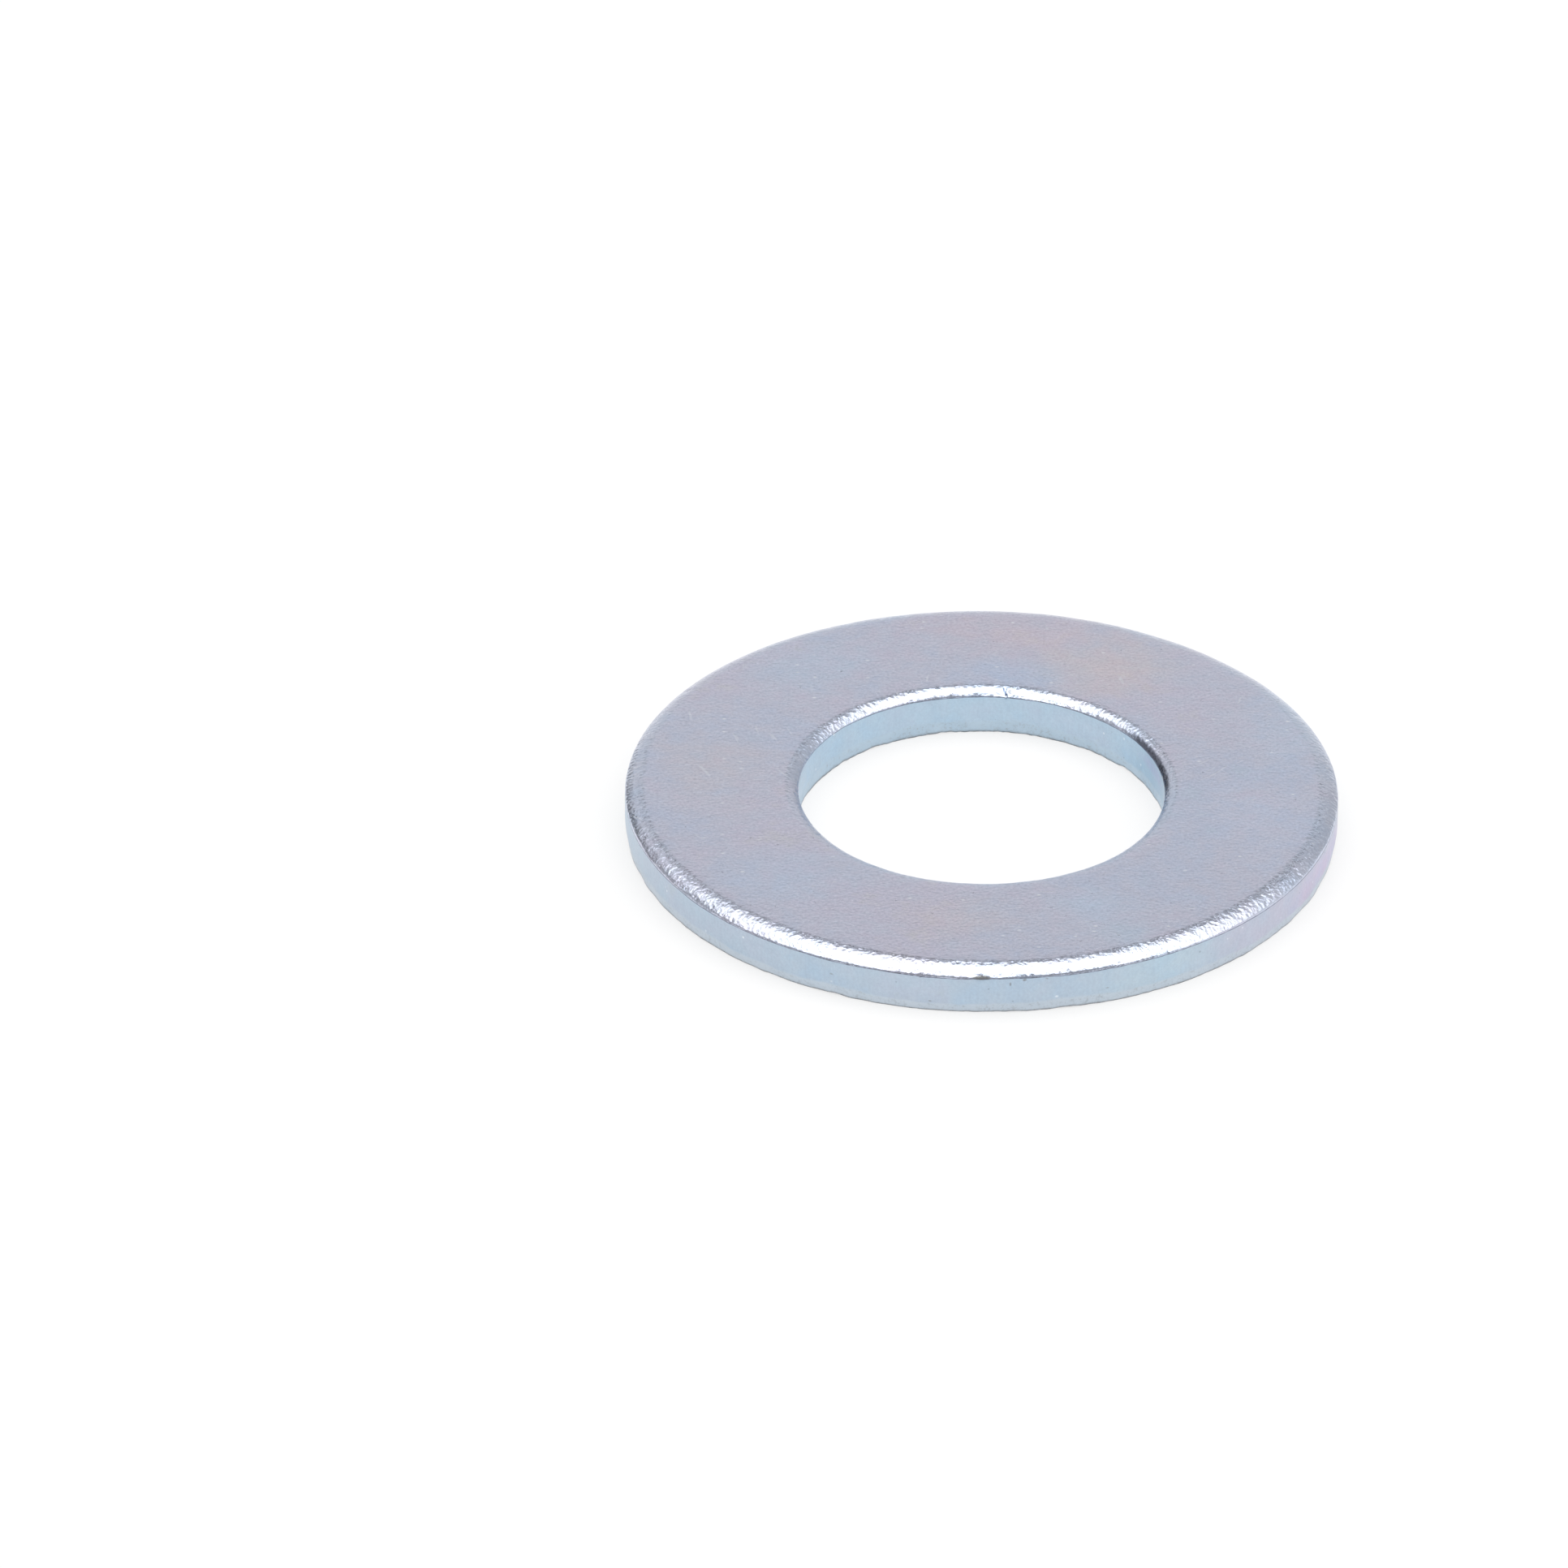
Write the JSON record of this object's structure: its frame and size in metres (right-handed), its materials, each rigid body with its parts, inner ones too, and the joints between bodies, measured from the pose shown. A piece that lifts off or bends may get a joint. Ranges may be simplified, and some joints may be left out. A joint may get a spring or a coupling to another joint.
{
  "type": "flat washer",
  "caption": "Thin stamped steel flat washer, zinc plated, with rounded top edges, that spreads a bolt head's or nut's load.",
  "frame": {"origin": "centre of the hole, on the washer's flat bottom (burr) face", "axes": "+Z along the hole's axis, up through the side with the rounded edges; X and Y lie in the bottom face"},
  "size_m": [0.0125, 0.0124, 0.0009],
  "materials": {
    "zinc_plated_steel": "bright zinc plate with clear blue passivation, satin, faintly iridescent"
  },
  "bodies": {
    "root": {"washer": "zinc_plated_steel"}
  },
  "joints": []
}
